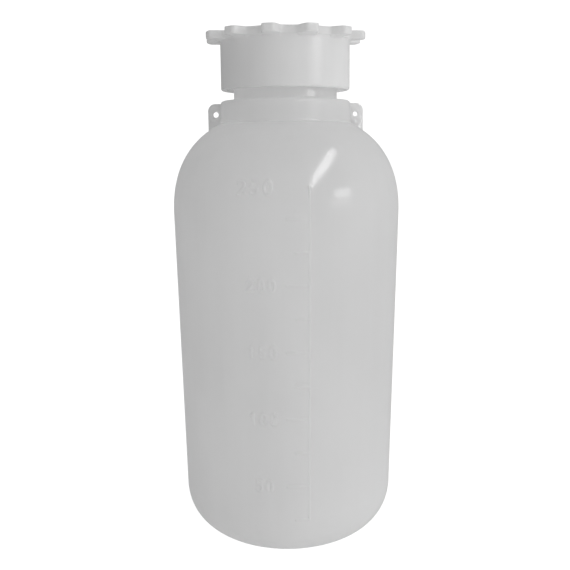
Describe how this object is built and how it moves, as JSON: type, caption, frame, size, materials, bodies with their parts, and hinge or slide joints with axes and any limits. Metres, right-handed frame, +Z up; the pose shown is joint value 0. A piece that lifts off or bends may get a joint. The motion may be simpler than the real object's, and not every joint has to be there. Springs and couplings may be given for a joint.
{
  "type": "graduated wide-neck bottle",
  "caption": "Round graduated wide-neck bottle in natural polyethylene, with seal-wire eyelets on its collar and a lugged screw cap over a plug seal.",
  "frame": {"origin": "centre of the standing ring on the underside of the bottle", "axes": "+Z up along the bottle's axis through the cap, +X through the right seal-wire eyelet in the mould's parting plane, -Y towards the graduated front"},
  "size_m": [0.064, 0.064, 0.1444],
  "materials": {
    "natural_polyethylene": "translucent milky natural high-density polyethylene, satin from the blow mould",
    "natural_polyethylene_cap": "translucent milky natural polyethylene, smoother and a little denser, injection moulded",
    "soft_polyethylene": "soft low-density polyethylene, waxy"
  },
  "bodies": {
    "bottle": {"bottle_body": "natural_polyethylene"},
    "seal": {"plug_seal": "soft_polyethylene"},
    "cap": {"screw_cap": "natural_polyethylene_cap"}
  },
  "joints": [
    {"name": "seal_lift", "type": "slide", "parent": "bottle", "child": "seal", "axis": [0, 0, 1], "range_m": [0, 0.022]},
    {"name": "cap_turn", "type": "hinge", "parent": "seal", "child": "cap", "pos_m": [0, 0, 0.1444], "axis": [0, 0, 1], "range_deg": [0, 1980]}
  ],
  "couplings": [
    {"joint": "seal_lift", "follows": "cap_turn", "m_per_rad": 0.00063662}
  ]
}
